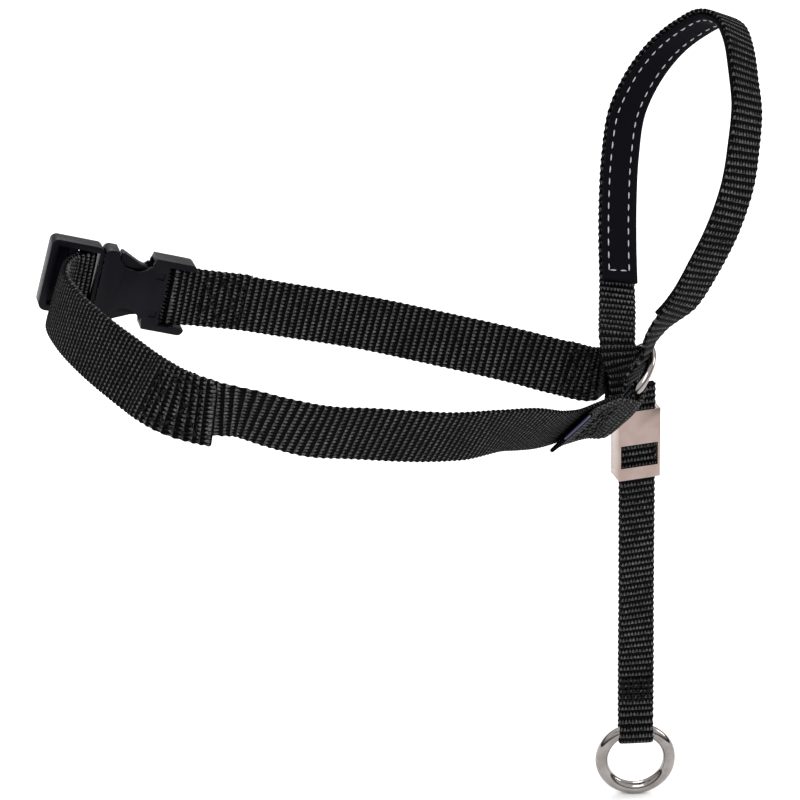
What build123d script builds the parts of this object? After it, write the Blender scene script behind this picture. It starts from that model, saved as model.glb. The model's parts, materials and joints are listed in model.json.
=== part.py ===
from build123d import *
import math
import os

# Dog head halter. Origin: the centre of the control ring under the jaw. +X points to the
# dog's nose, +Y to one side, +Z up. Millimetres.

# Webbing
WEB_T = 1.4
NECK_W = 19.0
NOSE_W = 12.7
RUN = 6.0

# Control ring, which joins the neck strap and the nose loop
RING_R = 12.0
RING_WIRE_R = 1.55
RING_NORMAL = (0.755, -0.337, -0.555)
RING_TOP = (0.60, 0.043, 0.797)
FOLD_GAP = 0.4
FAR_FOLD_MID = -70.0
NEAR_FOLD_MID = 125.0
FOLD_W = 16.5

# Side-release buckle, measured from the strap end of the socket along its length
BUCKLE_END = (-137.0, 57.0, 36.5)
BUCKLE_ALONG = (-0.915, 0.290, 0.277)
BUCKLE_UP = (0.283, -0.026, 0.959)
BUCKLE_H = 24.0
BUCKLE_T = 9.0
SOCKET_L = 30.5
PLUG_L = 17.5
WALL = 1.4
BAR_AT = 5.4
BAR_R = 1.6
BAR_GAP = 0.1
SLOT_GAP = 0.4
LADDER_AT = 35.0
LADDER_R = 1.3

# Drop strap, clamp and leash ring, in a frame that hangs from DROP_TOP
DROP_TOP = (5.1, 2.7, -7.0)
DROP_YAW = -15.0
DROP_LEAN = 0.034
LAYER_GAP = 0.2
LEASH_R = 12.35
LEASH_WIRE_R = 2.25
LEASH_GAP = 1.0
LEASH_Z = -146.5
TWIST = -13.0
TWIST_FROM = -84.0
TWIST_TO = -112.0
CLAMP_TOP = -6.3
CLAMP_H = 25.7
CLAMP_BAR = 4.6
CLAMP_WINDOW = 8.5
CLAMP_W = 15.1
CLAMP_WALL = 0.8
CLAMP_GAP = 0.35
CLAMP_WINDOW_W = 13.4
PIN_Y = 3.9
PIN_UP = 3.2
PIN_R = 1.0
CAM_R = 2.0

# Nose pad
PAD_W = 12.6
PAD_SIDE = 0.6
PAD_T = 2.0
PAD_ROW = 3.6
THREAD = 0.35
LIFT = 0.05
TACK_TOP = -119.5
TACK_PITCH = 2.0
TACK_ROWS = 5
TACK_H = 0.5

# Strap routes: each entry is a point on the strap's middle line and the way its width points.
FAR_ROUTE = [
    ((5.2, 10.7, 0.6), (0.45, 0.0, 0.89)),
    ((-6, 9.5, -1), (0.27, 0.0, 0.96)),
    ((-20, 12, 3.5), (0.28, 0.05, 0.96)),
    ((-33, 18, 8), (0.22, 0.02, 0.97)),
    ((-57, 31, 15), (0.18, 0.0, 0.98)),
    ((-81, 42, 22), (0.15, -0.05, 0.99)),
    ((-107, 50, 29), (0.17, -0.05, 0.98)),
    ((-120, 54, 32.5), (0.21, -0.04, 0.98)),
    ((-130, 55.6, 35), (0.27, -0.03, 0.96)),
    ((-142, 58.6, 38), (0.283, -0.026, 0.959)),
]
NEAR_ROUTE = [
    ((-6.5, -9.5, -3.2), (0.12, -0.56, 0.82)),
    ((-13, -13.5, -5), (0.24, -0.51, 0.82)),
    ((-26, -20, -0.5), (0.48, -0.39, 0.79)),
    ((-39.1, -28.2, 3.4), (0.49, -0.42, 0.76)),
    ((-53.2, -37.3, 7.6), (0.55, -0.42, 0.72)),
    ((-66.2, -46.3, 13.3), (0.58, -0.4, 0.71)),
    ((-79.1, -54.2, 19.5), (0.52, -0.37, 0.77)),
    ((-100, -64.1, 26.3), (0.37, -0.3, 0.88)),
    ((-116.9, -68.9, 31.3), (0.32, -0.34, 0.88)),
    ((-143, -69.9, 38.7), (0.23, -0.34, 0.91)),
    ((-157.1, -69.1, 42.3), (0.23, -0.36, 0.9)),
    ((-168, -66.4, 46.3), (0.18, -0.41, 0.89)),
    ((-177.8, -61.7, 49.9), (-0.01, -0.39, 0.92)),
    ((-183.9, -57.7, 50.9), (-0.02, -0.26, 0.96)),
]
TAIL_ROUTE = [
    ((-184.6, -57.5, 50.3), (0.38, -0.2, 0.9)),
    ((-190.5, -50, 51), (0.5, 0.0, 0.86)),
    ((-193.3, -38, 51.5), (0.55, 0.1, 0.83)),
    ((-194.5, -20, 52), (0.52, 0.08, 0.85)),
    ((-194.5, 0, 52), (0.42, -0.05, 0.9)),
    ((-192.5, 22, 51.5), (0.35, -0.1, 0.93)),
    ((-187, 44, 50), (0.3, -0.1, 0.95)),
    ((-179, 58, 48), (0.29, -0.05, 0.955)),
    ((-169, 67.2, 46.2), (0.283, -0.026, 0.959)),
]
NOSE_ROUTE = [
    ((-2.4, -0.1, -2.2), (0.91, 0.29, -0.31)),
    ((-2.7, 1.7, 2.2), (0.95, 0.16, -0.27)),
    ((-2.6, 3.5, 6.9), (0.98, -0.1, -0.17)),
    ((-1.4, 6.4, 12.1), (0.93, -0.35, -0.07)),
    ((3.7, 14.2, 17.5), (0.9, -0.43, -0.03)),
    ((8.6, 21.7, 23), (0.96, -0.27, -0.04)),
    ((13.3, 30, 36), (0.96, -0.28, -0.05)),
    ((18, 37.5, 49.5), (0.96, -0.27, -0.05)),
    ((22.7, 43.7, 63), (0.96, -0.26, -0.07)),
    ((27.5, 47.3, 77.5), (0.96, -0.24, -0.12)),
    ((31.2, 44.4, 89.5), (0.96, -0.2, -0.2)),
    ((35.2, 37.6, 101.3), (0.95, -0.15, -0.28)),
    ((37.9, 27.3, 110.7), (0.94, -0.11, -0.33)),
    ((39.5, 16.4, 117), (0.93, -0.08, -0.35)),
    ((38.6, 5.1, 117.4), (0.92, -0.04, -0.4)),
    ((35.6, -4.2, 113.1), (0.9, 0, -0.45)),
    ((32.1, -12.4, 104.5), (0.88, 0.02, -0.47)),
    ((29.4, -18.4, 95.9), (0.9, 0.02, -0.44)),
    ((25.9, -22.4, 84.9), (0.92, 0, -0.38)),
    ((22.2, -24.9, 72), (0.93, -0.03, -0.37)),
    ((17.7, -24.6, 58.5), (0.93, -0.05, -0.37)),
    ((13.8, -20.7, 44.6), (0.94, -0.04, -0.35)),
    ((9.4, -14.9, 30), (0.93, 0.05, -0.36)),
    ((3.8, -9.9, 20.9), (0.81, 0.47, -0.35)),
    ((1, -6, 14.3), (0.6, 0.7, -0.39)),
    ((0, -2.4, 8.3), (0.49, 0.78, -0.4)),
    ((-0.8, -1.3, 3.9), (0.52, 0.76, -0.4)),
    ((-1.2, -1.1, 1), (0.6, 0.7, -0.39)),
]
PAD_SPAN = (40.0, 280.0)
SEAM_FAR = 17.0
SEAM_SOCKET = 17.0
SEAM_NEAR = 50.0
SEAM_TAIL = (4.0, 22.0)


def route_frames(route, run=RUN):
    """Points, tangents, widths and normals at even steps along a smooth curve on a route."""
    points = [Vector(*p) for p, _ in route]
    widths = [Vector(*w) for _, w in route]
    spans = [(b - a).length for a, b in zip(points, points[1:])]
    slopes = [(points[1] - points[0]) * (1 / spans[0])]
    for i in range(1, len(points) - 1):
        before = (points[i] - points[i - 1]) * (1 / spans[i - 1])
        after = (points[i + 1] - points[i]) * (1 / spans[i])
        slopes.append((before * spans[i] + after * spans[i - 1]) * (1 / (spans[i - 1] + spans[i])))
    slopes.append((points[-1] - points[-2]) * (1 / spans[-1]))
    frames = []
    for i, span in enumerate(spans):
        steps = max(1, math.ceil(span / run))
        for k in range(steps + (i == len(spans) - 1)):
            t = k / steps
            frames.append(frame_at(points, widths, slopes, span, i, t))
    return frames


def frame_at(points, widths, slopes, span, i, t):
    """One frame, at the fraction t of span i."""
    a, b = points[i], points[i + 1]
    p, q = slopes[i] * span, slopes[i + 1] * span
    point = (a * (2 * t**3 - 3 * t**2 + 1) + p * (t**3 - 2 * t**2 + t)
             + b * (3 * t**2 - 2 * t**3) + q * (t**3 - t**2))
    along = (a * (6 * t**2 - 6 * t) + p * (3 * t**2 - 4 * t + 1)
             + b * (6 * t - 6 * t**2) + q * (3 * t**2 - 2 * t)).normalized()
    width = widths[i] * (1 - t) + widths[i + 1] * t
    width = (width - along * width.dot(along)).normalized()
    return point, along, width, along.cross(width)


def band(frames, width, low, high, side=0.0):
    """A closed band through the frames, from low to high along their normals."""
    rings = []
    for point, _, across, normal in frames:
        left = across * (side - width / 2)
        right = across * (side + width / 2)
        corners = [point + left + normal * low, point + right + normal * low,
                   point + right + normal * high, point + left + normal * high]
        rings.append(Wire.make_polygon(corners, close=True))
    return Solid.make_loft(rings, ruled=True)


def length_of(frames):
    return sum((b[0] - a[0]).length for a, b in zip(frames, frames[1:]))


def stretch(frames, start, end):
    """The frames from one distance along the strap to another."""
    kept, travelled, last = [], 0.0, frames[0][0]
    for frame in frames:
        travelled += (frame[0] - last).length
        last = frame[0]
        if start - 0.01 <= travelled <= end + 0.01:
            kept.append(frame)
    return kept


def ring_plane():
    return Plane(origin=(0, 0, 0), x_dir=RING_TOP, z_dir=RING_NORMAL)


def fold_on_ring(major, wire, gap, middle, width):
    """The webbing's fold round a ring's wire, bent to follow the ring."""
    turn = math.degrees(width / major)
    wall = Circle(wire + gap + WEB_T) - Circle(wire + gap)
    fold = revolve(Plane.XZ * Pos(major, 0) * wall, Axis.Z, turn)
    return Rot(0, 0, middle - turn / 2) * fold


def torus(major, minor):
    return revolve(Plane.XZ * Pos(major, 0) * Circle(minor), Axis.Z, 360)


def buckle_plane(along=0.0):
    """X along the buckle from its strap end, Y down its height, Z out of its inner face."""
    x = Vector(*BUCKLE_ALONG).normalized()
    up = Vector(*BUCKLE_UP)
    up = (up - x * up.dot(x)).normalized()
    return Plane(origin=Vector(*BUCKLE_END) + x * along, x_dir=x, z_dir=x.cross(up) * -1)


def drop_plane():
    """X across the drop strap, Y to its rear face, Z up it."""
    yaw = math.radians(DROP_YAW)
    across = Vector(math.cos(yaw), math.sin(yaw), 0)
    up = (Vector(0, 0, 1) - across * DROP_LEAN).normalized()
    across = (across - up * across.dot(up)).normalized()
    return Plane(origin=DROP_TOP, x_dir=across, z_dir=up)


def leash_plane():
    """The drop strap's frame once it has twisted to lie square to the leash ring."""
    return drop_plane().rotated((0, 0, TWIST))


def in_leash(shape):
    return leash_plane().location * shape


def in_buckle(shape):
    return buckle_plane().location * shape


def in_drop(shape):
    return drop_plane().location * shape


def block(x, y, z):
    """A box from (low, high) pairs."""
    size = (x[1] - x[0], y[1] - y[0], z[1] - z[0])
    return Pos((x[0] + x[1]) / 2, (y[0] + y[1]) / 2, (z[0] + z[1]) / 2) * Box(*size)


def rounded(x, y, z, radius):
    """A box from (low, high) pairs with its upright edges rounded."""
    flat = RectangleRounded(x[1] - x[0], y[1] - y[0], radius)
    flat = Pos((x[0] + x[1]) / 2, (y[0] + y[1]) / 2, z[0]) * flat
    return extrude(flat, z[1] - z[0])


def bar_along_y(x, radius, half):
    return Pos(x, 0, 0) * Rot(90, 0, 0) * Cylinder(radius, 2 * half)


def neck_strap_far():
    frames = route_frames(FAR_ROUTE)
    total = length_of(frames)
    strap = band(frames, NECK_W, -WEB_T / 2, WEB_T / 2)
    seam = band(stretch(frames, 0, SEAM_FAR + 8), NECK_W, WEB_T / 2, 1.5 * WEB_T)
    seam += band(stretch(frames, total - SEAM_SOCKET - 9, total), NECK_W, WEB_T / 2, 1.5 * WEB_T)
    fold = ring_plane().location * fold_on_ring(
        RING_R, RING_WIRE_R, FOLD_GAP, FAR_FOLD_MID, FOLD_W)
    bar_fold = in_buckle(bar_along_y(BAR_AT, BAR_R + BAR_GAP + WEB_T, NECK_W / 2))
    wire = ring_plane().location * torus(RING_R, RING_WIRE_R + FOLD_GAP)
    bar = in_buckle(bar_along_y(BAR_AT, BAR_R + BAR_GAP, NECK_W))
    return strap + seam + fold + bar_fold - wire - bar


def neck_strap_near():
    frames = route_frames(NEAR_ROUTE)
    strap = band(frames, NECK_W, -WEB_T / 2, WEB_T / 2)
    seam = band(stretch(frames, 0, SEAM_NEAR), NECK_W, -1.5 * WEB_T, -WEB_T / 2)
    fold = ring_plane().location * fold_on_ring(
        RING_R, RING_WIRE_R, FOLD_GAP, NEAR_FOLD_MID, FOLD_W)
    wire = ring_plane().location * torus(RING_R, RING_WIRE_R + FOLD_GAP)
    return strap + seam + fold - wire


def neck_strap_tail():
    """The strap and its tail lie on each other from the ladder bar to the hemmed end."""
    frames = route_frames(TAIL_ROUTE)
    strap = band(frames, NECK_W, -1.5 * WEB_T, WEB_T / 2)
    fold = in_buckle(bar_along_y(LADDER_AT, LADDER_R + BAR_GAP + WEB_T, NECK_W / 2))
    bar = in_buckle(bar_along_y(LADDER_AT, LADDER_R + BAR_GAP, NECK_W))
    return strap + fold - bar - buckle_plug_frame()


def slice_between(first, second, start, end):
    """Two frames inside a span, at fractions of the way from its first frame to its second."""
    return [(first[0] * (1 - t) + second[0] * t, first[1],
             (first[2] * (1 - t) + second[2] * t).normalized(),
             (first[3] * (1 - t) + second[3] * t).normalized()) for t in (start, end)]


def box_stitch(frames, face):
    """A stitched box with a middle row, lying on the strap face at this height."""
    low, high = (face, face + THREAD) if face > 0 else (face - THREAD, face)
    inset = NECK_W / 2 - 2.0
    rows = [band(frames, 0.8, low, high, side) for side in (-inset, 0.0, inset)]
    first = slice_between(frames[0], frames[1], 0.0, 0.15)
    last = slice_between(frames[-2], frames[-1], 0.85, 1.0)
    rows.append(band(first, 2 * inset, low, high))
    rows.append(band(last, 2 * inset, low, high))
    return Part() + rows


def socket_end_stitching():
    frames = route_frames(FAR_ROUTE)
    total = length_of(frames)
    return box_stitch(stretch(frames, total - SEAM_SOCKET - 8, total - 8), -WEB_T / 2 - LIFT)


def far_ring_stitching():
    frames = route_frames(FAR_ROUTE)
    return box_stitch(stretch(frames, 11, 11 + SEAM_FAR), -WEB_T / 2 - LIFT)


def near_ring_stitching():
    frames = route_frames(NEAR_ROUTE)
    return box_stitch(stretch(frames, 11, SEAM_NEAR), -1.5 * WEB_T - LIFT)


def tail_stitching():
    frames = route_frames(TAIL_ROUTE)
    return box_stitch(stretch(frames, *SEAM_TAIL), -1.5 * WEB_T - LIFT)


def control_ring():
    return ring_plane().location * torus(RING_R, RING_WIRE_R)


def buckle_socket():
    """A hollow shell with a window in each side, and a strap bar between two rails."""
    half = BUCKLE_H / 2
    deep = BUCKLE_T / 2
    shell = rounded((0, SOCKET_L), (-half, half), (-deep, deep), 2.0)
    shell -= block((10.5, SOCKET_L + 1), (-half + WALL, half - WALL), (-deep + WALL, deep - WALL))
    for side in (-1, 1):
        window = Pos(20.0, side * (half + 1.5), 0) * Box(11, 9.5, 3 * deep)
        shell -= window
        scallop = Pos(20.0, side * (half + 0.6), 0) * Cylinder(6.2, BUCKLE_T * 2)
        shell -= scallop
    shell -= block((-1, 9.0), (-NECK_W / 2 - SLOT_GAP, NECK_W / 2 + SLOT_GAP), (-deep - 1, deep + 1))
    for side in (-1, 1):
        shell -= block((10.0, 12.4), (side * 6.4 - 1.2, side * 6.4 + 1.2), (deep - 0.7, deep + 1))
    shell += bar_along_y(BAR_AT, BAR_R, half - 1.0)
    return in_buckle(shell)


def buckle_plug_frame():
    """The adjuster frame, its ladder bar and its raised outer grip bar."""
    half = BUCKLE_H / 2
    start, end = SOCKET_L + 0.2, SOCKET_L + PLUG_L
    deep = BUCKLE_T / 2 - 0.6
    frame = rounded((start, end), (-half, half), (-deep, deep), 2.2)
    inner = NECK_W / 2 + SLOT_GAP
    frame -= block((start + 1.2, start + 8.6), (-inner, inner), (-deep - 1, deep + 1))
    frame -= block((end - 6.0, end - 2.4), (-inner, inner), (-deep - 1, -0.4))
    frame -= block((end - 6.0, end - 2.4), (-inner, inner), (0.8, deep + 1))
    frame += bar_along_y(LADDER_AT, LADDER_R, inner + 1.0)
    return in_buckle(frame)


def buckle_guide_tongue():
    tongue = block((13.0, SOCKET_L + 0.2), (-2.2, 2.2), (-0.9, 0.9))
    rib = block((15.0, SOCKET_L + 0.2), (-0.6, 0.6), (-2.2, 2.2))
    return in_buckle(tongue + rib)


def buckle_prong(side):
    """A springy arm with a ribbed head that fills the socket's side window."""
    arm = block((22.0, SOCKET_L - 0.85), (6.9, 8.6), (-2.4, 2.4))
    arm += Pos(SOCKET_L - 0.85, 7.75, 0) * Cylinder(0.85, 4.8)
    outline = Polyline((15.4, 6.9), (15.4, 7.9), (18.2, 8.6), (22.0, 10.4), (24.2, 11.4),
                       (25.0, 11.2), (25.0, 6.9), close=True)
    prong = arm + Pos(0, 0, -2.4) * extrude(make_face(outline), 4.8)
    if side < 0:
        prong = mirror(prong, Plane.XZ)
    return in_buckle(prong)


def nose_strap():
    return band(route_frames(NOSE_ROUTE), NOSE_W, -WEB_T / 2, WEB_T / 2)


def nose_pad():
    frames = stretch(route_frames(NOSE_ROUTE), *PAD_SPAN)
    low = -WEB_T / 2 - LIFT - PAD_T
    return band(frames, PAD_W, low, low + PAD_T, PAD_SIDE)


def nose_pad_stitching():
    """Two rows of running stitch and the short row that joins them near the pad's end."""
    frames = stretch(route_frames(NOSE_ROUTE), PAD_SPAN[0] + 3, PAD_SPAN[1])
    high = -WEB_T / 2 - 2 * LIFT - PAD_T
    rows = [band(frames, 0.6, high - THREAD, high, side) for side in (-PAD_ROW, PAD_ROW)]
    short = slice_between(frames[0], frames[1], 0.0, 0.12)
    rows.append(band(short, 2 * PAD_ROW, high - THREAD, high))
    return Part() + rows


def twist_frames(bottom):
    """Frames down the drop strap, in its own axes: straight, then turned by the twist."""
    levels = [0.0, TWIST_FROM]
    steps = 8
    levels += [TWIST_FROM + (TWIST_TO - TWIST_FROM) * (k + 1) / steps for k in range(steps)]
    frames = []
    for z in levels + [bottom]:
        share = min(1.0, max(0.0, (z - TWIST_FROM) / (TWIST_TO - TWIST_FROM)))
        turn = math.radians(TWIST * share)
        across = Vector(math.cos(turn), math.sin(turn), 0)
        frames.append((Vector(0, 0, z), Vector(0, 0, -1), across, Vector(0, 0, -1).cross(across)))
    return frames


def drop_layer(side):
    """One layer of the drop strap; the front one carries the fold round the leash ring."""
    near, far = LAYER_GAP / 2, LAYER_GAP / 2 + WEB_T
    low, high = (-far, -near) if side > 0 else (near, far)
    layer = in_drop(band(twist_frames(LEASH_Z + LEASH_R + 1.0), NOSE_W, low, high))
    tube = LEASH_WIRE_R + LEASH_GAP
    if side < 0:
        fold = Rot(90, 0, 0) * fold_on_ring(LEASH_R, LEASH_WIRE_R, LEASH_GAP, 90.0, NOSE_W)
        layer += in_leash(Pos(0, 0, LEASH_Z) * fold)
        inside = Rot(90, 0, 0) * torus(LEASH_R, tube)
    else:
        inside = Rot(90, 0, 0) * torus(LEASH_R, tube + WEB_T + 0.05)
    return layer - in_leash(Pos(0, 0, LEASH_Z) * inside)


def leash_end_stitching():
    half = NOSE_W / 2 - 1.0
    face = LAYER_GAP / 2 + WEB_T + 0.02
    rows = []
    for row in range(TACK_ROWS):
        z = TACK_TOP - TACK_PITCH * row
        rows.append(block((-half, half), (-face - THREAD, -face), (z - TACK_H, z)))
        rows.append(block((-half, half), (face, face + THREAD), (z - TACK_H, z)))
    return in_leash(Compound(children=rows))


def clamp_frame():
    """A stamped channel: front plate with a window, and a wall down each side."""
    half = CLAMP_W / 2
    face = -(LAYER_GAP / 2 + WEB_T + CLAMP_GAP)
    low = CLAMP_TOP - CLAMP_H
    plate = block((-half, half), (face - CLAMP_WALL, face), (low, CLAMP_TOP))
    sill = low + CLAMP_BAR
    opening = (-CLAMP_WINDOW_W / 2, CLAMP_WINDOW_W / 2)
    plate -= block(opening, (face - 2, face + 1), (sill, sill + CLAMP_WINDOW))
    for side in (-1, 1):
        x = (half - CLAMP_WALL, half) if side > 0 else (-half, CLAMP_WALL - half)
        outline = Polyline((face - 0.4, low), (PIN_Y + 1.6, low), (PIN_Y + 1.6, -18.0),
                           (PIN_Y - 1.4, CLAMP_TOP), (face - 0.4, CLAMP_TOP), close=True)
        wall = extrude(Plane.YZ.offset(x[0]) * make_face(outline), x[1] - x[0])
        plate += wall
    pin = Pos(0, PIN_Y, low + PIN_UP) * Rot(0, 90, 0) * Cylinder(PIN_R, 3 * half)
    return in_drop(plate - pin)


def clamp_lever_pin():
    pin = Pos(0, PIN_Y, CLAMP_TOP - CLAMP_H + PIN_UP) * Rot(0, 90, 0) * Cylinder(PIN_R, CLAMP_W)
    return in_drop(pin)


def clamp_lever():
    """The back plate, joined by a rounded cam to the pin."""
    pin_z = CLAMP_TOP - CLAMP_H + PIN_UP
    inner = CLAMP_W / 2 - CLAMP_WALL - 0.3
    plate = rounded((-inner, inner), (-2.0, 18.0), (0, 0.9), 1.5)
    plate = Pos(0, PIN_Y + 2.7, pin_z) * Rot(90, 0, 0) * plate
    cam = Pos(0, PIN_Y, pin_z) * Rot(0, 90, 0) * Cylinder(CAM_R, 2 * inner)
    web = block((-inner, inner), (PIN_Y, PIN_Y + 2.2), (pin_z - 1.2, pin_z + CAM_R))
    bore = Pos(0, PIN_Y, pin_z) * Rot(0, 90, 0) * Cylinder(PIN_R + 0.08, CLAMP_W)
    return in_drop(plate + cam + web - bore)


def leash_ring():
    return in_leash(Pos(0, 0, LEASH_Z) * Rot(90, 0, 0) * torus(LEASH_R, LEASH_WIRE_R))


NODES = {
    "neck_strap_far": neck_strap_far,
    "neck_strap_near": neck_strap_near,
    "neck_strap_tail": neck_strap_tail,
    "socket_end_stitching": socket_end_stitching,
    "far_ring_stitching": far_ring_stitching,
    "near_ring_stitching": near_ring_stitching,
    "tail_stitching": tail_stitching,
    "control_ring": control_ring,
    "buckle_socket": buckle_socket,
    "buckle_plug_frame": buckle_plug_frame,
    "buckle_guide_tongue": buckle_guide_tongue,
    "buckle_prong_upper": lambda: buckle_prong(-1),
    "buckle_prong_lower": lambda: buckle_prong(1),
    "nose_strap": nose_strap,
    "nose_pad": nose_pad,
    "nose_pad_stitching": nose_pad_stitching,
    "drop_strap_front": lambda: drop_layer(-1),
    "drop_strap_rear": lambda: drop_layer(1),
    "leash_end_stitching": leash_end_stitching,
    "clamp_frame": clamp_frame,
    "clamp_lever_pin": clamp_lever_pin,
    "clamp_lever": clamp_lever,
    "leash_ring": leash_ring,
}


def main():
    os.makedirs("parts", exist_ok=True)
    for name, make in NODES.items():
        shape = make()
        export_step(shape, f"parts/{name}.step")
        print(f"{name}: {len(shape.solids())} solids, {shape.volume:.0f} mm3")


if __name__ == "__main__":
    main()
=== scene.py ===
import json
import math
import bmesh
import bpy
import numpy as np
from mathutils import Matrix, Vector

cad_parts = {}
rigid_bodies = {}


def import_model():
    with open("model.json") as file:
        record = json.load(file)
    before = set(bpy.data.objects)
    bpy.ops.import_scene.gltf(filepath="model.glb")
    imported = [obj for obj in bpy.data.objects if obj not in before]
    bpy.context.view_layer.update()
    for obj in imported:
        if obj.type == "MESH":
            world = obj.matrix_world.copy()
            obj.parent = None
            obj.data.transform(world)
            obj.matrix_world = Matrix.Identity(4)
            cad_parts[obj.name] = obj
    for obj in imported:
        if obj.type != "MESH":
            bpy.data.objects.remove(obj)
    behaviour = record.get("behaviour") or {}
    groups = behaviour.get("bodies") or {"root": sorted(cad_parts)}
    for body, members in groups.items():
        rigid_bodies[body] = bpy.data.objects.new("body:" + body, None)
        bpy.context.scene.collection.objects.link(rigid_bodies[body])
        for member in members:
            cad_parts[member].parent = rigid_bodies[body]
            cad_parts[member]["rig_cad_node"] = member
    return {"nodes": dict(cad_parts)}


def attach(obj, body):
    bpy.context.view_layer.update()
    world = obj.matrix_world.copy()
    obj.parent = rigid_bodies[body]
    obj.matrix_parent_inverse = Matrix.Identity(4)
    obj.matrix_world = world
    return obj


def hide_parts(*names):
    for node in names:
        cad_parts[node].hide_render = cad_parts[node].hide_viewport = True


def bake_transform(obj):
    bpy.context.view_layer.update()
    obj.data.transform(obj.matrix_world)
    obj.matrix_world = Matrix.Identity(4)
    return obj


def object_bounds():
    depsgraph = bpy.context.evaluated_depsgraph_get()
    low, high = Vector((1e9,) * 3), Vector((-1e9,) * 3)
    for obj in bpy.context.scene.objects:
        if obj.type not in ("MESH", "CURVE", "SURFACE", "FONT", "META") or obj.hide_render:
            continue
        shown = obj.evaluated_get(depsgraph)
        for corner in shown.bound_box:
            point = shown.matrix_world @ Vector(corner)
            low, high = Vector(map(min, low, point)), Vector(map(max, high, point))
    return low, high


MM = 0.001

# Webbing. Sizes up here are in millimetres unless they say otherwise.
WEB_T = 1.4
NECK_W = 19.0
NOSE_W = 12.7
FOLD_W = 16.5     # the neck strap bunches up to this width where it goes round the control ring
ROW = 2.37        # pitch of the weave's rows along the webbing
DOT = 1.22        # pitch of the yarns across it
STEP = ROW / 6
NARROW_COLUMNS = 11
SEWN_GAP = 0.1    # between two layers that are sewn together
LAYER = WEB_T + SEWN_GAP
LIFT = 0.05       # between webbing and what lies on it

# Control ring

RING_R = 12.0
RING_WIRE_R = 1.55
RING_NORMAL = (0.755, -0.337, -0.555)
RING_TOP = (0.60, 0.043, 0.797)
FAR_FOLD_MID = -70.0
NEAR_FOLD_MID = 125.0
NEAR_FOLD_SAG = 14.0     # degrees that the near fold sits further round the wire than in the CAD
RING_GAP = 0.25          # between the wire and the webbing folded round it
RING_TURN_R = RING_WIRE_R + RING_GAP + WEB_T / 2
TURN_STEPS = 14
TURN_IN = 8.0            # a layer starts to leave the strap for its turn this far from the end

# Neck strap's ends
FAR_SEAM = 25.0
SOCKET_SEAM = 26.0
BAR_R = 1.6
LADDER_R = 1.3
BAR_GAP = 0.2
NEAR_END = 51.0          # the near strap's returned end reaches this far back from the ring
END_LIFT = 1.1
BEAD_W = 12.0
BEAD_T = 0.8
BEAD_SIDE = 3.0
BEAD_STEP = 0.12
TAIL_START = 6.5
HEM = 20.0

# Nose loop and its pad
NOSE_TUCK_LEFT = 7.0
NOSE_TUCK_RIGHT = 4.0
PAD_SPAN = (40.0, 280.0)
PAD_W = 12.6
PAD_SIDE = 0.6
PAD_T = 2.0
PAD_STEP = 1.0
PAD_ROW = 3.6

# Drop strap and leash ring
DROP_TOP = (5.1, 2.7, -7.0)
DROP_YAW = -15.0
DROP_LEAN = 0.034
DROP_ABOVE = 2.6
LEASH_R = 12.35
LEASH_WIRE_R = 2.25
LEASH_Z = -146.5
LEASH_GAP = 0.55
LEASH_REACH = 7.0
LEASH_FLAT = 0.42  # the fold's height is that of the wire at this share of the strap's width
TWIST = -13.0      # degrees that the drop strap turns between these two levels
TWIST_FROM = -84.0
TWIST_TO = -112.0

# Thread
BOX_HALF = 7.0
BOX_DASH = 1.9
BOX_DASH_GAP = 0.7
BOX_THREAD_R = 0.42
PAD_THREAD_R = 0.24
THREAD_RISE = 0.5  # how far a dash arches up, as a share of its radius
TACK_START = 112.5
TACK_PITCH = 1.05
TACK_ROWS = 9
TACK_HALF = 5.4
TACK_R = 0.4

# Camera and floor
CAMERA_AZ = -30.0
CAMERA_EL = 23.5
CAMERA_FAR = 870.0     # from the plane through the control ring
LENS = 115.5
RING_RIGHT = 78.0      # the control ring's centre is this far right of the middle of the view
RING_ABOVE = 7.5
FLOOR_GAP = 0.0001     # metres
FLOOR_SIZE = 40.0      # metres, so that its edge stays out of every view

FAR_ROUTE = [
    ((5.2, 10.7, 0.6), (0.45, 0.0, 0.89)),
    ((-6, 9.5, -1), (0.27, 0.0, 0.96)),
    ((-20, 12, 3.5), (0.28, 0.05, 0.96)),
    ((-33, 18, 8), (0.22, 0.02, 0.97)),
    ((-57, 31, 15), (0.18, 0.0, 0.98)),
    ((-81, 42, 22), (0.15, -0.05, 0.99)),
    ((-107, 50, 29), (0.17, -0.05, 0.98)),
    ((-120, 54, 32.5), (0.21, -0.04, 0.98)),
    ((-130, 55.6, 35), (0.27, -0.03, 0.96)),
    ((-142, 58.6, 38), (0.283, -0.026, 0.959)),
]
NEAR_ROUTE = [
    ((-6.5, -9.5, -3.2), (0.12, -0.56, 0.82)),
    ((-13, -13.5, -5), (0.24, -0.51, 0.82)),
    ((-26, -20, -0.5), (0.48, -0.39, 0.79)),
    ((-39.1, -28.2, 3.4), (0.49, -0.42, 0.76)),
    ((-53.2, -37.3, 7.6), (0.55, -0.42, 0.72)),
    ((-66.2, -46.3, 13.3), (0.58, -0.4, 0.71)),
    ((-79.1, -54.2, 19.5), (0.52, -0.37, 0.77)),
    ((-100, -64.1, 26.3), (0.37, -0.3, 0.88)),
    ((-116.9, -68.9, 31.3), (0.32, -0.34, 0.88)),
    ((-143, -69.9, 38.7), (0.23, -0.34, 0.91)),
    ((-157.1, -69.1, 42.3), (0.23, -0.36, 0.9)),
    ((-168, -66.4, 46.3), (0.18, -0.41, 0.89)),
    ((-177.8, -61.7, 49.9), (-0.01, -0.39, 0.92)),
    ((-183.9, -57.7, 50.9), (-0.02, -0.26, 0.96)),
]
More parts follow.
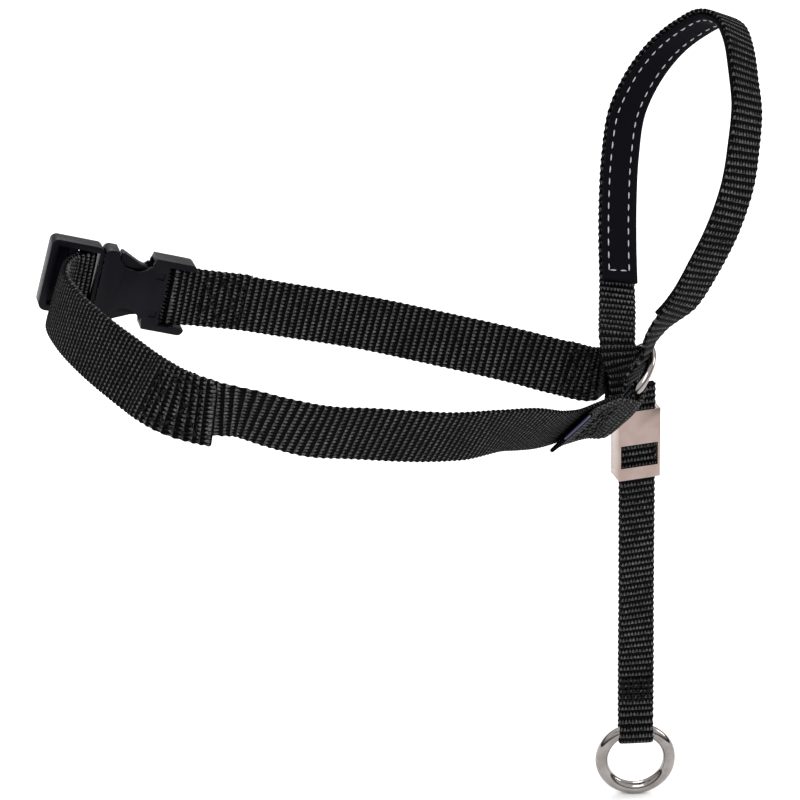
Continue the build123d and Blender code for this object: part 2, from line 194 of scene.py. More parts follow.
TAIL_ROUTE = [
    ((-184.6, -57.5, 50.3), (0.38, -0.2, 0.9)),
    ((-190.5, -50, 51), (0.5, 0.0, 0.86)),
    ((-193.3, -38, 51.5), (0.55, 0.1, 0.83)),
    ((-194.5, -20, 52), (0.52, 0.08, 0.85)),
    ((-194.5, 0, 52), (0.42, -0.05, 0.9)),
    ((-192.5, 22, 51.5), (0.35, -0.1, 0.93)),
    ((-187, 44, 50), (0.3, -0.1, 0.95)),
    ((-179, 58, 48), (0.29, -0.05, 0.955)),
    ((-169, 67.2, 46.2), (0.283, -0.026, 0.959)),
]
NOSE_ROUTE = [
    ((-3.4, 0.4, -2.6), (0.91, 0.29, -0.31)),
    ((-2.7, 1.7, 2.2), (0.95, 0.16, -0.27)),
    ((-2.6, 3.5, 6.9), (0.98, -0.1, -0.17)),
    ((-1.4, 6.4, 12.1), (0.93, -0.35, -0.07)),
    ((3.7, 14.2, 17.5), (0.9, -0.43, -0.03)),
    ((8.6, 21.7, 23), (0.96, -0.27, -0.04)),
    ((13.3, 30, 36), (0.96, -0.28, -0.05)),
    ((18, 37.5, 49.5), (0.96, -0.27, -0.05)),
    ((22.7, 43.7, 63), (0.96, -0.26, -0.07)),
    ((27.5, 47.3, 77.5), (0.96, -0.24, -0.12)),
    ((31.2, 44.4, 89.5), (0.96, -0.2, -0.2)),
    ((35.2, 37.6, 101.3), (0.95, -0.15, -0.28)),
    ((37.9, 27.3, 110.7), (0.94, -0.11, -0.33)),
    ((39.5, 16.4, 117), (0.93, -0.08, -0.35)),
    ((38.6, 5.1, 117.4), (0.92, -0.04, -0.4)),
    ((35.6, -4.2, 113.1), (0.9, 0, -0.45)),
    ((32.1, -12.4, 104.5), (0.88, 0.02, -0.47)),
    ((29.4, -18.4, 95.9), (0.9, 0.02, -0.44)),
    ((25.9, -22.4, 84.9), (0.92, 0, -0.38)),
    ((22.2, -24.9, 72), (0.93, -0.03, -0.37)),
    ((17.7, -24.6, 58.5), (0.93, -0.05, -0.37)),
    ((13.8, -20.7, 44.6), (0.94, -0.04, -0.35)),
    ((9.4, -14.9, 30), (0.93, 0.05, -0.36)),
    ((3.8, -9.9, 20.9), (0.84, 0.42, -0.35)),
    ((1.4, -8.4, 15.4), (0.72, 0.57, -0.38)),
    ((0.1, -8.4, 11.2), (0.68, 0.62, -0.38)),
    ((-1.0, -6.6, 6.4), (0.79, 0.49, -0.36)),
    ((-1.3, -4.7, 3.1), (0.79, 0.49, -0.36)),
    ((-1.7, -3.6, -0.4), (0.74, 0.56, -0.37)),
]

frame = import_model()
nodes = frame["nodes"]
cad_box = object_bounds()


# ---------- routes ----------

def unit(v):
    v = np.asarray(v, float)
    return v / np.linalg.norm(v, axis=-1, keepdims=True)


class Route:
    """A strap's middle line, with the way its width points, sampled finely along a smooth curve."""

    def __init__(self, stations, step=0.5):
        p = np.array([s[0] for s in stations], float)
        w = np.array([s[1] for s in stations], float)
        spans = np.linalg.norm(np.diff(p, axis=0), axis=1)
        dirs = np.diff(p, axis=0) / spans[:, None]
        slopes = np.vstack([dirs[:1], p[1:-1] * 0, dirs[-1:]])
        a, b = spans[:-1, None], spans[1:, None]
        slopes[1:-1] = (dirs[:-1] * b + dirs[1:] * a) / (a + b)
        points, tangents, widths = [], [], []
        for i, span in enumerate(spans):
            last = i == len(spans) - 1
            n = max(2, math.ceil(span / step))
            t = np.linspace(0, 1, n + 1)[: n + last, None]
            m0, m1 = slopes[i] * span, slopes[i + 1] * span
            points.append(p[i] * (2 * t**3 - 3 * t**2 + 1) + m0 * (t**3 - 2 * t**2 + t)
                          + p[i + 1] * (3 * t**2 - 2 * t**3) + m1 * (t**3 - t**2))
            tangents.append(p[i] * (6 * t**2 - 6 * t) + m0 * (3 * t**2 - 4 * t + 1)
                            + p[i + 1] * (6 * t - 6 * t**2) + m1 * (3 * t**2 - 2 * t))
            widths.append(w[i] * (1 - t) + w[i + 1] * t)
        self.p = np.vstack(points)
        self.t = unit(np.vstack(tangents))
        self.w = np.vstack(widths)
        self.d = np.concatenate([[0], np.cumsum(np.linalg.norm(np.diff(self.p, axis=0), axis=1))])
        self.length = self.d[-1]

    def at(self, d):
        """Point, tangent, width and normal at distances d; past the ends it goes straight on."""
        d = np.asarray(d, float)
        inside = np.clip(d, 0, self.length)
        pick = lambda a: np.stack([np.interp(inside, self.d, a[:, k]) for k in range(3)], -1)
        p, t, w = pick(self.p), unit(pick(self.t)), pick(self.w)
        p = p + t * (d - inside)[..., None]
        w = unit(w - t * (t * w).sum(-1, keepdims=True))
        return p, t, w, np.cross(t, w)


class RingFold:
    """Where a strap goes round a ring's wire: its width bends with the ring, narrowed by squeeze."""

    def __init__(self, centre, top, normal, radius, middle, route, at, toward, squeeze=1.0, reach=11.0,
                 flat_at=None):
        self.c = np.array(centre, float)
        z = unit(normal)
        x = unit(np.array(top, float) - z * (np.array(top, float) @ z))
        a = math.radians(middle)
        self.up = math.cos(a) * x + math.sin(a) * np.cross(z, x)
        self.along = math.cos(a) * np.cross(z, x) - math.sin(a) * x
        _, _, width, normal_there = route.at(np.array([at]))
        self.wsign = np.sign(width[0] @ self.along)
        self.z = z * np.sign(normal_there[0] @ z)
        self.r, self.at, self.toward = radius, at, toward
        self.squeeze, self.reach = squeeze, reach
        self.flat_at = flat_at

    def bend(self, pos, d, w, off):
        near = (d - self.at) * self.toward
        theta = self.wsign * w * self.squeeze / self.r
        height = np.cos(theta) if self.flat_at is None else math.cos(self.flat_at / self.r) + 0 * theta
        out = (self.r * height + near)[..., None] * self.up
        there = self.c + out + (self.r * np.sin(theta))[..., None] * self.along + off[..., None] * self.z
        share = (1 - smooth((near - 2.0) / self.reach))[..., None]
        return pos * (1 - share) + there * share


def smooth(t):
    t = np.clip(t, 0, 1)
    return t * t * (3 - 2 * t)


def side_line(points, step=STEP):
    """A polyline of (distance, offset) points, as a rounded line of even steps."""
    pts = np.array(points, float)
    seg = np.linalg.norm(np.diff(pts, axis=0), axis=1)
    s = np.concatenate([[0], np.cumsum(seg)])
    n = max(2, round(s[-1] / step))
    u = np.linspace(0, s[-1], n + 1)
    line = np.stack([np.interp(u, s, pts[:, 0]), np.interp(u, s, pts[:, 1])], -1)
    for _ in range(3):
        line[1:-1] = (line[:-2] + 2 * line[1:-1] + line[2:]) / 4
    return line


# ---------- meshes ----------

def new_object(name, verts, faces, uv=None):
    mesh = bpy.data.meshes.new(name)
    mesh.from_pydata([tuple(v) for v in np.asarray(verts) * MM], [], faces)
    if uv is not None:
        layer = mesh.uv_layers.new(name="weave")
        index = np.empty(len(mesh.loops), np.int32)
        mesh.loops.foreach_get("vertex_index", index)
        layer.data.foreach_set("uv", uv[index].astype(np.float32).ravel())
    mesh.validate()
    for poly in mesh.polygons:
        poly.use_smooth = True
    obj = bpy.data.objects.new(name, mesh)
    bpy.context.scene.collection.objects.link(obj)
    return obj


def section(width, thick, columns):
    """Points round a strap's cross-section: across, up, and how far it lies from the edge."""
    half, t = width / 2, thick / 2
    xs = np.linspace(-half + t * 0.8, half - t * 0.8, columns)
    crown = 1 - 0.18 * np.abs(xs / half) ** 6
    top = [(x, t * c) for x, c in zip(xs, crown)]
    right = [(half - t * 0.3, t * 0.62), (half, 0), (half - t * 0.3, -t * 0.62)]
    bottom = [(x, -t * c) for x, c in zip(xs[::-1], crown[::-1])]
    left = [(-half + t * 0.3, -t * 0.62), (-half, 0), (-half + t * 0.3, t * 0.62)]
    return np.array(top + right + bottom + left)


def strip(name, route, line, width, thick=WEB_T, folds=(), columns=13, rib=0.1, scallop=0.16,
          side=0.0):
    """Webbing: a cross-section swept along a side line that is laid on a route."""
    sec = section(width, thick, columns)
    seg = np.linalg.norm(np.diff(line, axis=0), axis=1)
    u = np.concatenate([[0], np.cumsum(seg)])
    tang = unit(np.gradient(line, axis=0))
    nrm = np.stack([-tang[:, 1], tang[:, 0]], -1)
    n, m = len(line), len(sec)
    phase = 2 * np.pi * u / ROW
    ribs = 1 + rib * np.cos(phase)[:, None]
    edge = np.abs(sec[:, 0]) / (width / 2)
    bump = scallop * np.cos(phase)[:, None] * smooth((edge - 0.86) / 0.14)[None, :]
    w = sec[None, :, 0] + bump * np.sign(sec[:, 0])[None, :] + side
    h = sec[None, :, 1] * ribs
    d = line[:, None, 0] + nrm[:, None, 0] * h
    off = line[:, None, 1] + nrm[:, None, 1] * h
    p, _, wv, nv = route.at(d)
    pos = p + wv * w[..., None] + nv * off[..., None]
    for fold in folds:
        pos = fold.bend(pos, d, w, off)
    verts = pos.reshape(-1, 3)
    uv = np.stack([np.repeat(u, m), np.tile(sec[:, 0], n)], -1)
    low = np.tile(sec[:, 1] < 0, n)
    uv[low, 1] += 0.37
    faces = []
    for i in range(n - 1):
        a, b = i * m, (i + 1) * m
        faces += [(a + j, a + (j + 1) % m, b + (j + 1) % m, b + j) for j in range(m)]
    faces.append(tuple(range(m))[::-1])
    faces.append(tuple(range((n - 1) * m, n * m)))
    return new_object(name, verts, faces, uv)


# ---------- materials ----------

class Nodes:
    """A short way to write a material's nodes."""

    def __init__(self, name):
        self.mat = bpy.data.materials.new(name)
        self.mat.use_nodes = True
        self.tree = self.mat.node_tree
        self.bsdf = next(n for n in self.tree.nodes if n.type == "BSDF_PRINCIPLED")

    def node(self, kind, **inputs):
        n = self.tree.nodes.new(kind)
        for key, value in inputs.items():
            n.inputs[key.replace("_", " ")].default_value = value
        return n

    def link(self, a, b):
        self.tree.links.new(a, b)

    def math(self, op, a, b=None, clamp=False):
        n = self.tree.nodes.new("ShaderNodeMath")
        n.operation, n.use_clamp = op, clamp
        for i, v in enumerate((a, b)):
            if v is None:
                continue
            if isinstance(v, (int, float)):
                n.inputs[i].default_value = v
            else:
                self.link(v, n.inputs[i])
        return n.outputs[0]

    def step(self, low, high, value):
        n = self.tree.nodes.new("ShaderNodeMapRange")
        n.interpolation_type = "SMOOTHSTEP"
        self.link(value, n.inputs["Value"])
        n.inputs["From Min"].default_value, n.inputs["From Max"].default_value = low, high
        return n.outputs["Result"]

    def mix(self, factor, a, b):
        n = self.tree.nodes.new("ShaderNodeMix")
        n.data_type = "RGBA"
        self.link(factor, n.inputs["Factor"])
        for key, v in ((6, a), (7, b)):
            if isinstance(v, tuple):
                n.inputs[key].default_value = (*v, 1)
            else:
                self.link(v, n.inputs[key])
        return n.outputs[2]

    def noise(self, scale, detail):
        n = self.node("ShaderNodeTexNoise", Scale=scale, Detail=detail)
        where = self.tree.nodes.new("ShaderNodeTexCoord")
        self.link(where.outputs["Object"], n.inputs["Vector"])
        return n.outputs["Fac"]

    def bump(self, height, distance, strength):
        n = self.node("ShaderNodeBump", Strength=strength, Distance=distance)
        self.link(height, n.inputs["Height"])
        return n.outputs["Normal"]

    def set(self, **values):
        for key, v in values.items():
            socket = self.bsdf.inputs[key.replace("_", " ")]
            if isinstance(v, (int, float, tuple)):
                socket.default_value = (*v, 1) if isinstance(v, tuple) and len(v) == 3 else v
            else:
                self.link(v, socket)
        return self.mat


def weave_material(name, dark, mid, light):
    """Ribbed nylon webbing: black rows, each with a line of small teeth along its lower side painted pale
    as a highlight, and the gaps between its yarns painted darker as shade.
    """
    m = Nodes(name)
    uv = m.tree.nodes.new("ShaderNodeUVMap")
    uv.uv_map = "weave"
    sep = m.tree.nodes.new("ShaderNodeSeparateXYZ")
    m.link(uv.outputs["UV"], sep.inputs["Vector"])
    rows = m.math("DIVIDE", sep.outputs["X"], ROW)
    phase = m.math("FRACT", rows)
    odd = m.math("GREATER_THAN", m.math("FRACT", m.math("MULTIPLY", rows, 0.5)), 0.5)
    yarn = m.math("ADD", m.math("DIVIDE", sep.outputs["Y"], DOT), m.math("MULTIPLY", odd, 0.5))
    across = m.math("ABSOLUTE", m.math("SINE", m.math("MULTIPLY", yarn, math.pi)))
    along = m.math("SINE", m.math("MULTIPLY", phase, math.pi))
    body = m.math("MULTIPLY", m.math("POWER", across, 0.6), m.math("POWER", along, 0.6))
    narrow = m.math("SUBTRACT", 1.0, m.math("MULTIPLY", m.step(0.3, 0.8, phase), 0.75))
    wedge = m.math("SUBTRACT", across, narrow)
    row_end = m.math("SUBTRACT", 1.0, m.step(0.84, 0.96, phase))
    # painted highlight: the pale teeth where each row's yarn catches the light
    tooth_highlight = m.math("MULTIPLY", m.step(-0.05, 0.22, wedge), row_end)
    fuzz = m.noise(1500, 3)
    wide = m.noise(70, 2)
    tooth_highlight = m.math("MULTIPLY", tooth_highlight, m.step(0.25, 0.75, fuzz))
    tooth_highlight = m.math("MULTIPLY", tooth_highlight, m.math("ADD", 0.3, m.math("MULTIPLY", wide, 1.3)), clamp=True)
    # painted shade: where body is low, in the gaps between the yarns, the colour falls to the darker one
    colour = m.mix(m.step(0.2, 0.9, body), dark, mid)
    # painted highlight: the third colour, light, is laid on the teeth
    colour = m.mix(tooth_highlight, colour, light)
    height = m.math("ADD", body, m.math("MULTIPLY", fuzz, 0.3))
    return m.set(Base_Color=colour, Roughness=0.7, Normal=m.bump(height, 0.0004, 1.0),
                 Specular_IOR_Level=0.035)


def cloth_material(name, colour, scale=1400, depth=0.00008, rough=0.85, gloss=0.06):
    m = Nodes(name)
    grain = m.noise(scale, 3)
    broad = m.noise(60, 3)
    dark = tuple(c * 0.5 for c in colour)
    share = m.math("ADD", m.math("MULTIPLY", grain, 0.6), m.math("MULTIPLY", broad, 0.4))
    return m.set(Base_Color=m.mix(share, dark, colour), Roughness=rough,
                 Normal=m.bump(grain, depth, 0.7), Specular_IOR_Level=gloss)


def plastic_material(name, colour):
    m = Nodes(name)
    grain = m.noise(2600, 2)
    wear = m.noise(120, 4)
    rough = m.math("ADD", 0.3, m.math("MULTIPLY", wear, 0.2))
    tint = m.mix(m.step(0.45, 0.75, wear), colour, tuple(c * 1.5 for c in colour))
    return m.set(Base_Color=tint, Roughness=rough, Normal=m.bump(grain, 0.00004, 0.35),
                 Specular_IOR_Level=0.11)


def metal_material(name, colour, reflection_tint, rough):
    """Plated metal whose colour shifts in cloudy patches toward a tint that is a painted reflection of warm
    surroundings; the same patches vary its roughness, and fine marks from handling are bumped in.
    """
    m = Nodes(name)
    smudge_and_reflection = m.noise(160, 4)
    fine = m.noise(2200, 3)
    value = m.math("ADD", rough, m.math("MULTIPLY", smudge_and_reflection, rough))
    # painted reflection: the cloudy patches move the base colour toward the reflection tint
    return m.set(Base_Color=m.mix(m.step(0.35, 0.7, smudge_and_reflection), colour, reflection_tint), Metallic=1.0,
                 Roughness=value, Normal=m.bump(fine, 0.000008, 0.3))


# first colour: the painted shade between the yarns; second: the yarn's own black; third: the teeth's
# painted highlight
WEBBING = weave_material("webbing", (0.0002, 0.0002, 0.0002), (0.0012, 0.0012, 0.0014),
                         (0.115, 0.115, 0.117))
PAD = cloth_material("pad", (0.0028, 0.0028, 0.0055))
SEALED = cloth_material("sealed_edge", (0.07, 0.075, 0.16), 900, 0.0001, 0.3, 0.5)
THREAD_DARK = cloth_material("thread_dark", (0.004, 0.004, 0.0045), 3000, 0.00003, 0.5, 0.1)
THREAD_PALE = cloth_material("thread_pale", (0.6, 0.59, 0.6), 3000, 0.00003, 0.7)
PLASTIC = plastic_material("buckle_plastic", (0.0018, 0.0017, 0.0036))
# the grey is the metals' own; their warm cast and the tint of their cloudy patches are a painted reflection
# of warm surroundings
CHROME = metal_material("ring_chrome", (0.30, 0.28, 0.27), (0.22, 0.20, 0.19), 0.08)
NICKEL = metal_material("clamp_nickel", (0.33, 0.26, 0.235), (0.30, 0.225, 0.20), 0.14)


def paint(obj, material):
    obj.data.materials.clear()
    obj.data.materials.append(material)
    return obj


def softened(name, body, material, width):
    """A moulded or stamped part: the CAD node's own shape, with its sharp edges rounded over."""
    mesh = nodes[name].data.copy()
    mesh.transform(nodes[name].matrix_world)
    bm = bmesh.new()
    bm.from_mesh(mesh)
    bmesh.ops.remove_doubles(bm, verts=bm.verts, dist=2e-6)
    bmesh.ops.dissolve_limit(bm, angle_limit=math.radians(1.5), verts=bm.verts, edges=bm.edges)
    bm.to_mesh(mesh)
    bm.free()
    obj = bpy.data.objects.new(name + "_rounded", mesh)
    bpy.context.scene.collection.objects.link(obj)
    for poly in mesh.polygons:
        poly.use_smooth = True
    bevel = obj.modifiers.new("edges", "BEVEL")
    bevel.width, bevel.segments = width * MM, 3
    bevel.limit_method, bevel.angle_limit = "ANGLE", math.radians(35)
    bevel.harden_normals = True
    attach(paint(obj, material), body)
    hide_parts(name)


def wire_ring(name, node, body, centre, top, normal, radius, wire, material):
    """A ring of round wire, a little uneven as cast rings are."""
    z = unit(normal)
    x = unit(np.array(top, float) - z * (np.array(top, float) @ z))
    y = np.cross(z, x)
    n, m = 144, 32
    a = np.linspace(0, 2 * np.pi, n, endpoint=False)[:, None]
    b = np.linspace(0, 2 * np.pi, m, endpoint=False)[None, :]
    thick = wire * (1 + 0.012 * np.sin(3 * a + 0.7) + 0.008 * np.sin(7 * a + b))
    out = radius + thick * np.cos(b)
    verts = (np.array(centre) + (out * np.cos(a))[..., None] * x + (out * np.sin(a))[..., None] * y
             + (thick * np.sin(b) + 0 * a)[..., None] * z)
    faces = [(i * m + j, i * m + (j + 1) % m, (i + 1) % n * m + (j + 1) % m, (i + 1) % n * m + j)
             for i in range(n) for j in range(m)]
    ring = paint(new_object(name, verts.reshape(-1, 3), [f[::-1] for f in faces]), material)
    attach(ring, body)
    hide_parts(node)


softened("buckle_socket", "neck_collar", PLASTIC, 0.45)
softened("buckle_plug_frame", "buckle_plug", PLASTIC, 0.4)
softened("buckle_guide_tongue", "buckle_plug", PLASTIC, 0.15)
softened("buckle_prong_upper", "prong_upper", PLASTIC, 0.12)
softened("buckle_prong_lower", "prong_lower", PLASTIC, 0.12)
softened("clamp_frame", "clamp", NICKEL, 0.32)
softened("clamp_lever", "clamp_lever", NICKEL, 0.25)
softened("clamp_lever_pin", "clamp", NICKEL, 0.15)


# ---------- straps ----------

far = Route(FAR_ROUTE)
near = Route(NEAR_ROUTE)
tail = Route(TAIL_ROUTE)
nose = Route(NOSE_ROUTE)


def drop_axes():
    """Across the drop strap, to its rear face, and up it."""
    yaw = math.radians(DROP_YAW)
    across = np.array([math.cos(yaw), math.sin(yaw), 0])
    up = unit(np.array([0, 0, 1.0]) - across * DROP_LEAN)
    across = unit(across - up * (across @ up))
    return across, np.cross(up, across), up


drop_across, drop_back, drop_up = drop_axes()
twist = math.radians(TWIST)
leash_across = drop_across * math.cos(twist) + drop_back * math.sin(twist)
leash_back = np.cross(drop_up, leash_across)


def down_drop(z):
    """A point on the drop strap's middle line, at a height in its own frame."""
    return np.array(DROP_TOP) + drop_up * z


drop = Route([(down_drop(0), drop_across), (down_drop(TWIST_FROM), drop_across),
              (down_drop(TWIST_TO), leash_across), (down_drop(LEASH_Z + LEASH_R), leash_across)])
leash_centre = down_drop(LEASH_Z)


def ring_turn(r, sign):
    """A half turn round the wire at distance 0, from the offset side given by sign."""
    angles = [math.pi * k / TURN_STEPS for k in range(TURN_STEPS + 1)]
    return [(-r * math.sin(a), sign * r * math.cos(a)) for a in angles]


def half_turn(at, radius, sign):
    """A half turn round a bar at distance at, from the offset side -sign."""
    angles = [math.pi * k / TURN_STEPS for k in range(TURN_STEPS + 1)]
    return [(at + radius * math.sin(a), -sign * radius * math.cos(a)) for a in angles]


def neck_fold(middle, route):
    """The neck strap's fold round the control ring, centred at an angle on the ring."""
    return RingFold((0, 0, 0), RING_TOP, RING_NORMAL, RING_R, middle, route, 0, 1, FOLD_W / NECK_W)


def far_strap():
    """Round the control ring at one end and round the socket's bar at the other."""
    end = far.length
    line = [(FAR_SEAM, LAYER), (TURN_IN, LAYER)] + ring_turn(RING_TURN_R, 1)
    line += [(TURN_IN, 0), (end - TURN_IN, 0)] + half_turn(end, BAR_R + BAR_GAP + WEB_T / 2, 1)
    line += [(end - TURN_IN, LAYER), (end - SOCKET_SEAM, LAYER)]
    fold = neck_fold(FAR_FOLD_MID, far)
    strap = strip("neck_strap_far_webbing", far, side_line(line), NECK_W, folds=[fold])
    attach(paint(strap, WEBBING), "neck_collar")
    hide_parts("neck_strap_far")


def near_strap():
    """Round the control ring at the front; its returned end lifts off the strap a little."""
    end = near.length
    line = [(NEAR_END, -LAYER - END_LIFT), (NEAR_END - 5, -LAYER - 0.35), (NEAR_END - 10, -LAYER)]
    line += [(TURN_IN, -LAYER)] + ring_turn(RING_TURN_R, -1)
    line += [(TURN_IN, 0), (end - 2, 0), (end + 1.5, 0.3)]
    fold = neck_fold(NEAR_FOLD_MID + NEAR_FOLD_SAG, near)
    strap = strip("neck_strap_near_webbing", near, side_line(line), NECK_W, folds=[fold])
    paint(strap, WEBBING)
    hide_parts("neck_strap_near")
    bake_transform(strap)


def sealed_end():
    """The melted bead along part of the near strap's cut end."""
    line = [(NEAR_END - 0.4, -LAYER - END_LIFT), (NEAR_END + 0.5, -LAYER - END_LIFT - 0.15)]
    bead = strip("near_tail_sealed_end", near, side_line(line, BEAD_STEP), BEAD_W, BEAD_T, columns=25,
                 rib=0.0, scallop=0.0, side=BEAD_SIDE)
    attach(paint(bead, SEALED), "neck_collar")


def tail_strap():
    """Out to the ladder bar, back over itself, and tucked under at its hem."""
    end = tail.length
    line = [(TAIL_START, 0), (end - TURN_IN, 0)] + half_turn(end, LADDER_R + BAR_GAP + WEB_T / 2, -1)
    line += [(end - TURN_IN, -LAYER), (HEM + 6, -LAYER), (HEM + 1, -2 * LAYER), (0, -2 * LAYER)]
    line += [(-1.6, -2 * LAYER + 0.3), (-1.9, -1.5 * LAYER), (-1.6, -LAYER - 0.1)]
    line += [(0, -LAYER), (HEM, -LAYER)]
    strap = strip("neck_strap_tail_webbing", tail, side_line(line), NECK_W)
    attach(paint(strap, WEBBING), "buckle_plug")
    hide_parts("neck_strap_tail")


def nose_strap():
    """The loop, whose two ends reach on into the control ring."""
    line = side_line([(-NOSE_TUCK_LEFT, 0), (nose.length + NOSE_TUCK_RIGHT, 0)])
    strap = strip("nose_strap_webbing", nose, line, NOSE_W, columns=NARROW_COLUMNS)
    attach(paint(strap, WEBBING), "nose_loop")
    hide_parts("nose_strap")


def drop_strap():
    """Two layers, joined by the fold round the leash ring."""
    end = drop.length
    face = WEB_T / 2 + SEWN_GAP
    fold = RingFold(leash_centre, drop_up, leash_back, LEASH_R, 0.0, drop, end, -1, 1.0, LEASH_REACH,
                    NOSE_W * LEASH_FLAT)
    line = [(-DROP_ABOVE, face), (end - TURN_IN, face)]
    line += half_turn(end, LEASH_WIRE_R + LEASH_GAP + WEB_T / 2, -1)
    line += [(end - TURN_IN, -face), (-DROP_ABOVE, -face)]
    strap = strip("drop_strap_webbing", drop, side_line(line), NOSE_W, folds=[fold], columns=NARROW_COLUMNS)
    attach(paint(strap, WEBBING), "drop_strap")
    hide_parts("drop_strap_front", "drop_strap_rear")


far_strap()
near_strap()
sealed_end()
tail_strap()
nose_strap()
drop_strap()

wire_ring("control_ring_wire", "control_ring", "control_ring", (0, 0, 0), RING_TOP, RING_NORMAL,
          RING_R, RING_WIRE_R, CHROME)
wire_ring("leash_ring_wire", "leash_ring", "leash_ring", leash_centre, drop_up, leash_back,
          LEASH_R, LEASH_WIRE_R, CHROME)


# ---------- pad ----------

def nose_pad():
    middle = -WEB_T / 2 - LIFT - PAD_T / 2
    line = side_line([(PAD_SPAN[0], middle), (PAD_SPAN[1], middle)], PAD_STEP)
    pad = strip("nose_pad_foam", nose, line, PAD_W, PAD_T, rib=0.0, scallop=0.0, side=PAD_SIDE)
    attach(paint(pad, PAD), "nose_loop")
    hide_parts("nose_pad")


nose_pad()


# ---------- stitches ----------

def stitches(name, route, dashes, face, radius, material):
    """Thread dashes laid on a strap: each is (d0, w0, d1, w1), arched over its length."""
    verts, faces = [], []
    rings, sides = 7, 6
    outward = 1 if face >= 0 else -1
    for d0, w0, d1, w1 in dashes:
        length = math.hypot(d1 - d0, w1 - w0)
        ux, uy = (d1 - d0) / length, (w1 - w0) / length
        base = len(verts)
        for i in range(rings):
            t = i / (rings - 1)
            inside = 0 < i < rings - 1
            r = radius * (0.35 + 0.65 * math.sin(math.pi * t) ** 0.5) if inside else radius * 0.3
            lift = radius * THREAD_RISE * math.sin(math.pi * t)
            for k in range(sides):
                a = 2 * math.pi * k / sides
                d = d0 + (d1 - d0) * t - uy * r * math.cos(a)
                w = w0 + (w1 - w0) * t + ux * r * math.cos(a)
                h = face + (lift + r * math.sin(a)) * outward
                p, _, wv, nv = route.at(np.array([d]))
                verts.append(p[0] + wv[0] * w + nv[0] * h)
        for i in range(rings - 1):
            for k in range(sides):
                a, b = base + i * sides + k, base + i * sides + (k + 1) % sides
                faces.append((a, b, b + sides, a + sides))
        faces.append(tuple(base + k for k in range(sides))[::-1])
        faces.append(tuple(base + (rings - 1) * sides + k for k in range(sides)))
    return paint(new_object(name, verts, faces), material)


def run_of(points, dash, gap):
    """Dashes along a polyline of (d, w) points."""
    out = []
    start = 0.0
    for (d0, w0), (d1, w1) in zip(points, points[1:]):
        length = math.hypot(d1 - d0, w1 - w0)
        x = start
        while x + dash <= length + 1e-6:
            a, b = x / length, (x + dash) / length
            out.append((d0 + (d1 - d0) * a, w0 + (w1 - w0) * a, d0 + (d1 - d0) * b, w0 + (w1 - w0) * b))
            x += dash + gap
        start = gap * 0.5
    return out


def box_pattern(d0, d1):
    """A sewn box with a zigzag between its long sides."""
    mid, half = (d0 + d1) / 2, BOX_HALF
    box = [(d0, -half), (d1, -half), (d1, half), (d0, half), (d0, -half)]
    zig = [(d0, -half), (mid, half), (d1, -half), (d1, half), (mid, -half), (d0, half)]
    return run_of(box, BOX_DASH, BOX_DASH_GAP) + run_of(zig, BOX_DASH, BOX_DASH_GAP)


def box_thread(name, node, body, route, span, face):
    """One sewn box in dark thread, over a span of a strap."""
    sew = stitches(name, route, box_pattern(*span), face, BOX_THREAD_R, THREAD_DARK)
    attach(sew, body)
    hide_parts(node)


def pad_thread():
    """Two rows of running stitch along the pad, and a short row that joins them."""
    start = PAD_SPAN[0] + 4
    rows = []
    for side in (-PAD_ROW, PAD_ROW):
        rows += run_of([(start, side), (PAD_SPAN[1] - 1, side)], 2.4, 1.9)
    rows += run_of([(start, -3.2), (start, 3.2)], 2.2, 1.5)
    face = -WEB_T / 2 - LIFT - PAD_T
    sew = stitches("nose_pad_thread", nose, rows, face, PAD_THREAD_R, THREAD_PALE)
    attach(sew, "nose_loop")
    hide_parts("nose_pad_stitching")


def tack_thread():
    """Close rows of bar tack on both faces of the drop strap, over the leash ring."""
    tack = []
    for row in range(TACK_ROWS):
        d = TACK_START + TACK_PITCH * row
        tack += run_of([(d, -TACK_HALF), (d, TACK_HALF)], 1.5, 0.3)
    face = WEB_T + SEWN_GAP
    front = stitches("leash_end_thread", drop, tack, face, TACK_R, THREAD_DARK)
    back = stitches("leash_end_thread_back", drop, tack, -face, TACK_R, THREAD_DARK)
    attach(front, "drop_strap")
    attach(back, "drop_strap")
    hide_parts("leash_end_stitching")


one_layer = -WEB_T / 2 - LIFT
two_layers = -LAYER - WEB_T / 2 - LIFT
hem_layers = -2 * LAYER - WEB_T / 2 - LIFT
pad_thread()
box_thread("socket_end_thread", "socket_end_stitching", "neck_collar", far,
           (far.length - 24, far.length - 9.5), one_layer)
box_thread("far_ring_thread", "far_ring_stitching", "neck_collar", far, (12, 25), one_layer)
box_thread("near_ring_thread", "near_ring_stitching", "neck_collar", near, (22, 36), two_layers)
box_thread("tail_thread", "tail_stitching", "buckle_plug", tail, (2, 18), hem_layers)
tack_thread()


# ---------- floor, camera, light ----------

def white_floor():
    bpy.ops.mesh.primitive_plane_add(size=FLOOR_SIZE, location=(0, 0, cad_box[0][2] - FLOOR_GAP))
    floor = bpy.context.object
    floor.name = "floor"
    look = Nodes("floor_white").set(Base_Color=(0.92, 0.92, 0.92), Roughness=0.9)
    floor.data.materials.append(look)


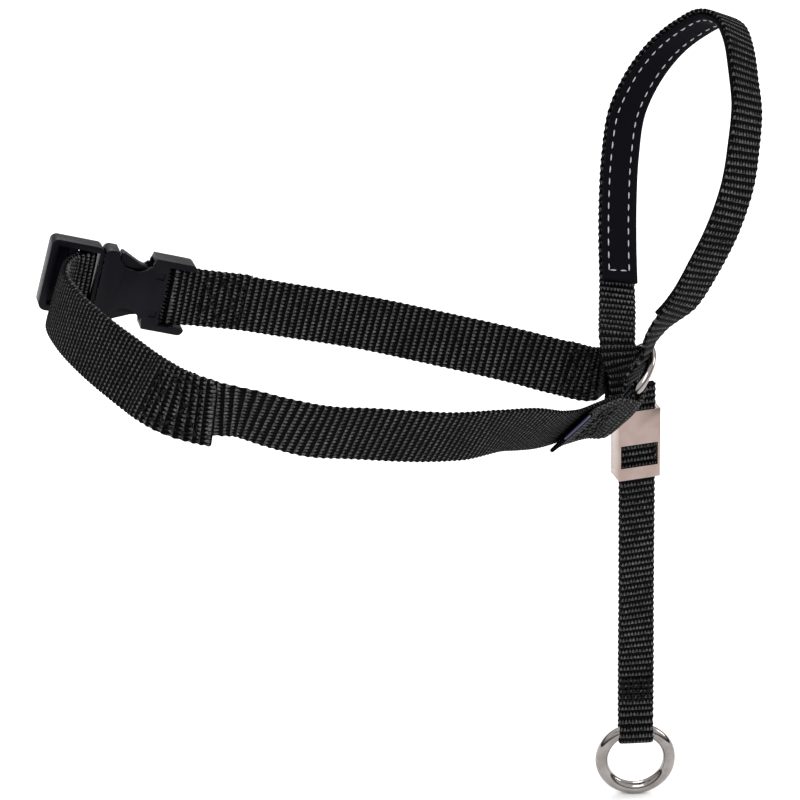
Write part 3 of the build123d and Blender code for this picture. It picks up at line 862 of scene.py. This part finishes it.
def set_camera():
    """Aimed so that the control ring lies right of the middle of the view and a little above it."""
    az, el = math.radians(CAMERA_AZ), math.radians(CAMERA_EL)
    back = Vector((math.sin(az) * math.cos(el), -math.cos(az) * math.cos(el), math.sin(el)))
    right = Vector((math.cos(az), math.sin(az), 0))
    up = back.cross(right)
    place = (CAMERA_FAR * back - RING_RIGHT * right - RING_ABOVE * up) * MM
    data = bpy.data.cameras.new("camera")
    data.lens, data.sensor_width = LENS, 36
    data.clip_start, data.clip_end = 0.01, 50
    camera = bpy.data.objects.new("camera", data)
    camera.matrix_world = Matrix.Translation(place) @ Matrix((right, up, back)).transposed().to_4x4()
    bpy.context.scene.collection.objects.link(camera)
    bpy.context.scene.camera = camera


def area(name, at, aim, size, watts):
    """A square light that shines from one point toward another."""
    light = bpy.data.lights.new(name, "AREA")
    light.shape, light.size, light.energy = "SQUARE", size, watts
    obj = bpy.data.objects.new(name, light)
    at, aim = Vector(at), Vector(aim)
    obj.matrix_world = Matrix.Translation(at) @ (at - aim).to_track_quat("Z", "Y").to_matrix().to_4x4()
    bpy.context.scene.collection.objects.link(obj)


def studio_world():
    """White from above, falling to dark low walls, which give the metal its dark streaks."""
    world = bpy.data.worlds.new("studio")
    bpy.context.scene.world = world
    world.use_nodes = True
    tree = world.node_tree
    where = tree.nodes.new("ShaderNodeTexCoord")
    split = tree.nodes.new("ShaderNodeSeparateXYZ")
    tree.links.new(where.outputs["Generated"], split.inputs["Vector"])
    walls = tree.nodes.new("ShaderNodeValToRGB")
    ramp = walls.color_ramp
    ramp.interpolation = "EASE"
    ramp.elements[0].position, ramp.elements[0].color = 0.10, (0.02, 0.02, 0.02, 1)
    ramp.elements[1].position, ramp.elements[1].color = 0.42, (1, 1, 1, 1)
    ramp.elements.new(0.22).color = (0.45, 0.43, 0.42, 1)
    tree.links.new(split.outputs["Z"], walls.inputs["Fac"])
    background = tree.nodes["Background"]
    tree.links.new(walls.outputs["Color"], background.inputs["Color"])
    background.inputs["Strength"].default_value = 1.15


white_floor()
set_camera()
area("key", (-0.7, -1.2, 1.4), (-0.05, 0, 0), 0.9, 16)
area("rim", (0.5, 1.1, 1.2), (-0.05, 0, 0), 0.9, 12)
area("side", (1.3, -0.3, 0.5), (0, 0, -0.05), 0.5, 5)
studio_world()
bpy.context.scene.view_settings.view_transform = "Standard"
